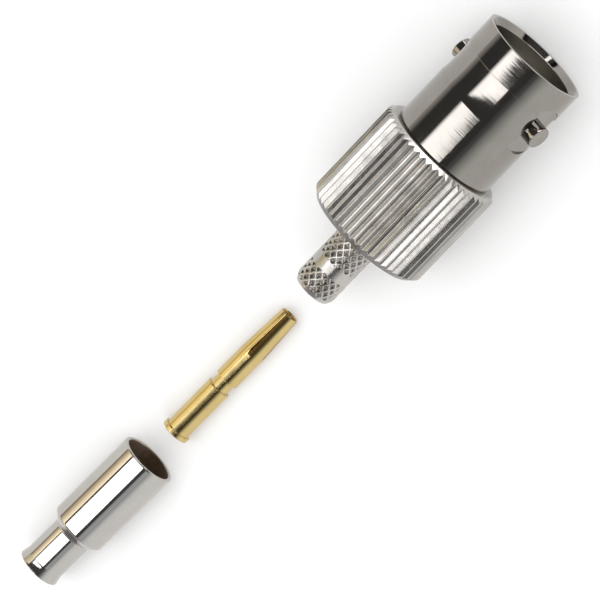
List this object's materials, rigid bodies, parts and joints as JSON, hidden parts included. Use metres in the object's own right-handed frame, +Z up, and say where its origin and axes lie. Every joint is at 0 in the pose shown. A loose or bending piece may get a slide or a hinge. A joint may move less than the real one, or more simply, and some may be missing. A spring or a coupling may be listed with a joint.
{
  "type": "bayonet coaxial crimp jack",
  "caption": "Straight crimp jack for coaxial cable with a bayonet mouth, two lug pins, knurled collar, crimp stem, loose gold centre contact and stepped crimp ferrule.",
  "frame": {"origin": "centre of the jack's mating face, on the jack's axis", "axes": "+X out of the mouth along the jack's axis, +Z up from the surface that the three groups lie on"},
  "size_m": [0.0623, 0.0116, 0.0116],
  "materials": {
    "polished_nickel": "polished nickel plate with fine turning marks",
    "knurled_nickel": "nickel plate over a cut knurl",
    "bright_nickel": "smooth bright nickel plate",
    "gold_plate": "bright gold plate",
    "white_dielectric": "waxy white dielectric"
  },
  "bodies": {
    "root": {"front_shell": "polished_nickel", "near_lug_pin": "polished_nickel", "far_lug_pin": "polished_nickel", "insulator": "white_dielectric", "knurled_collar": "knurled_nickel", "crimp_stem": "knurled_nickel", "centre_contact": "gold_plate", "crimp_ferrule": "bright_nickel"}
  },
  "joints": []
}
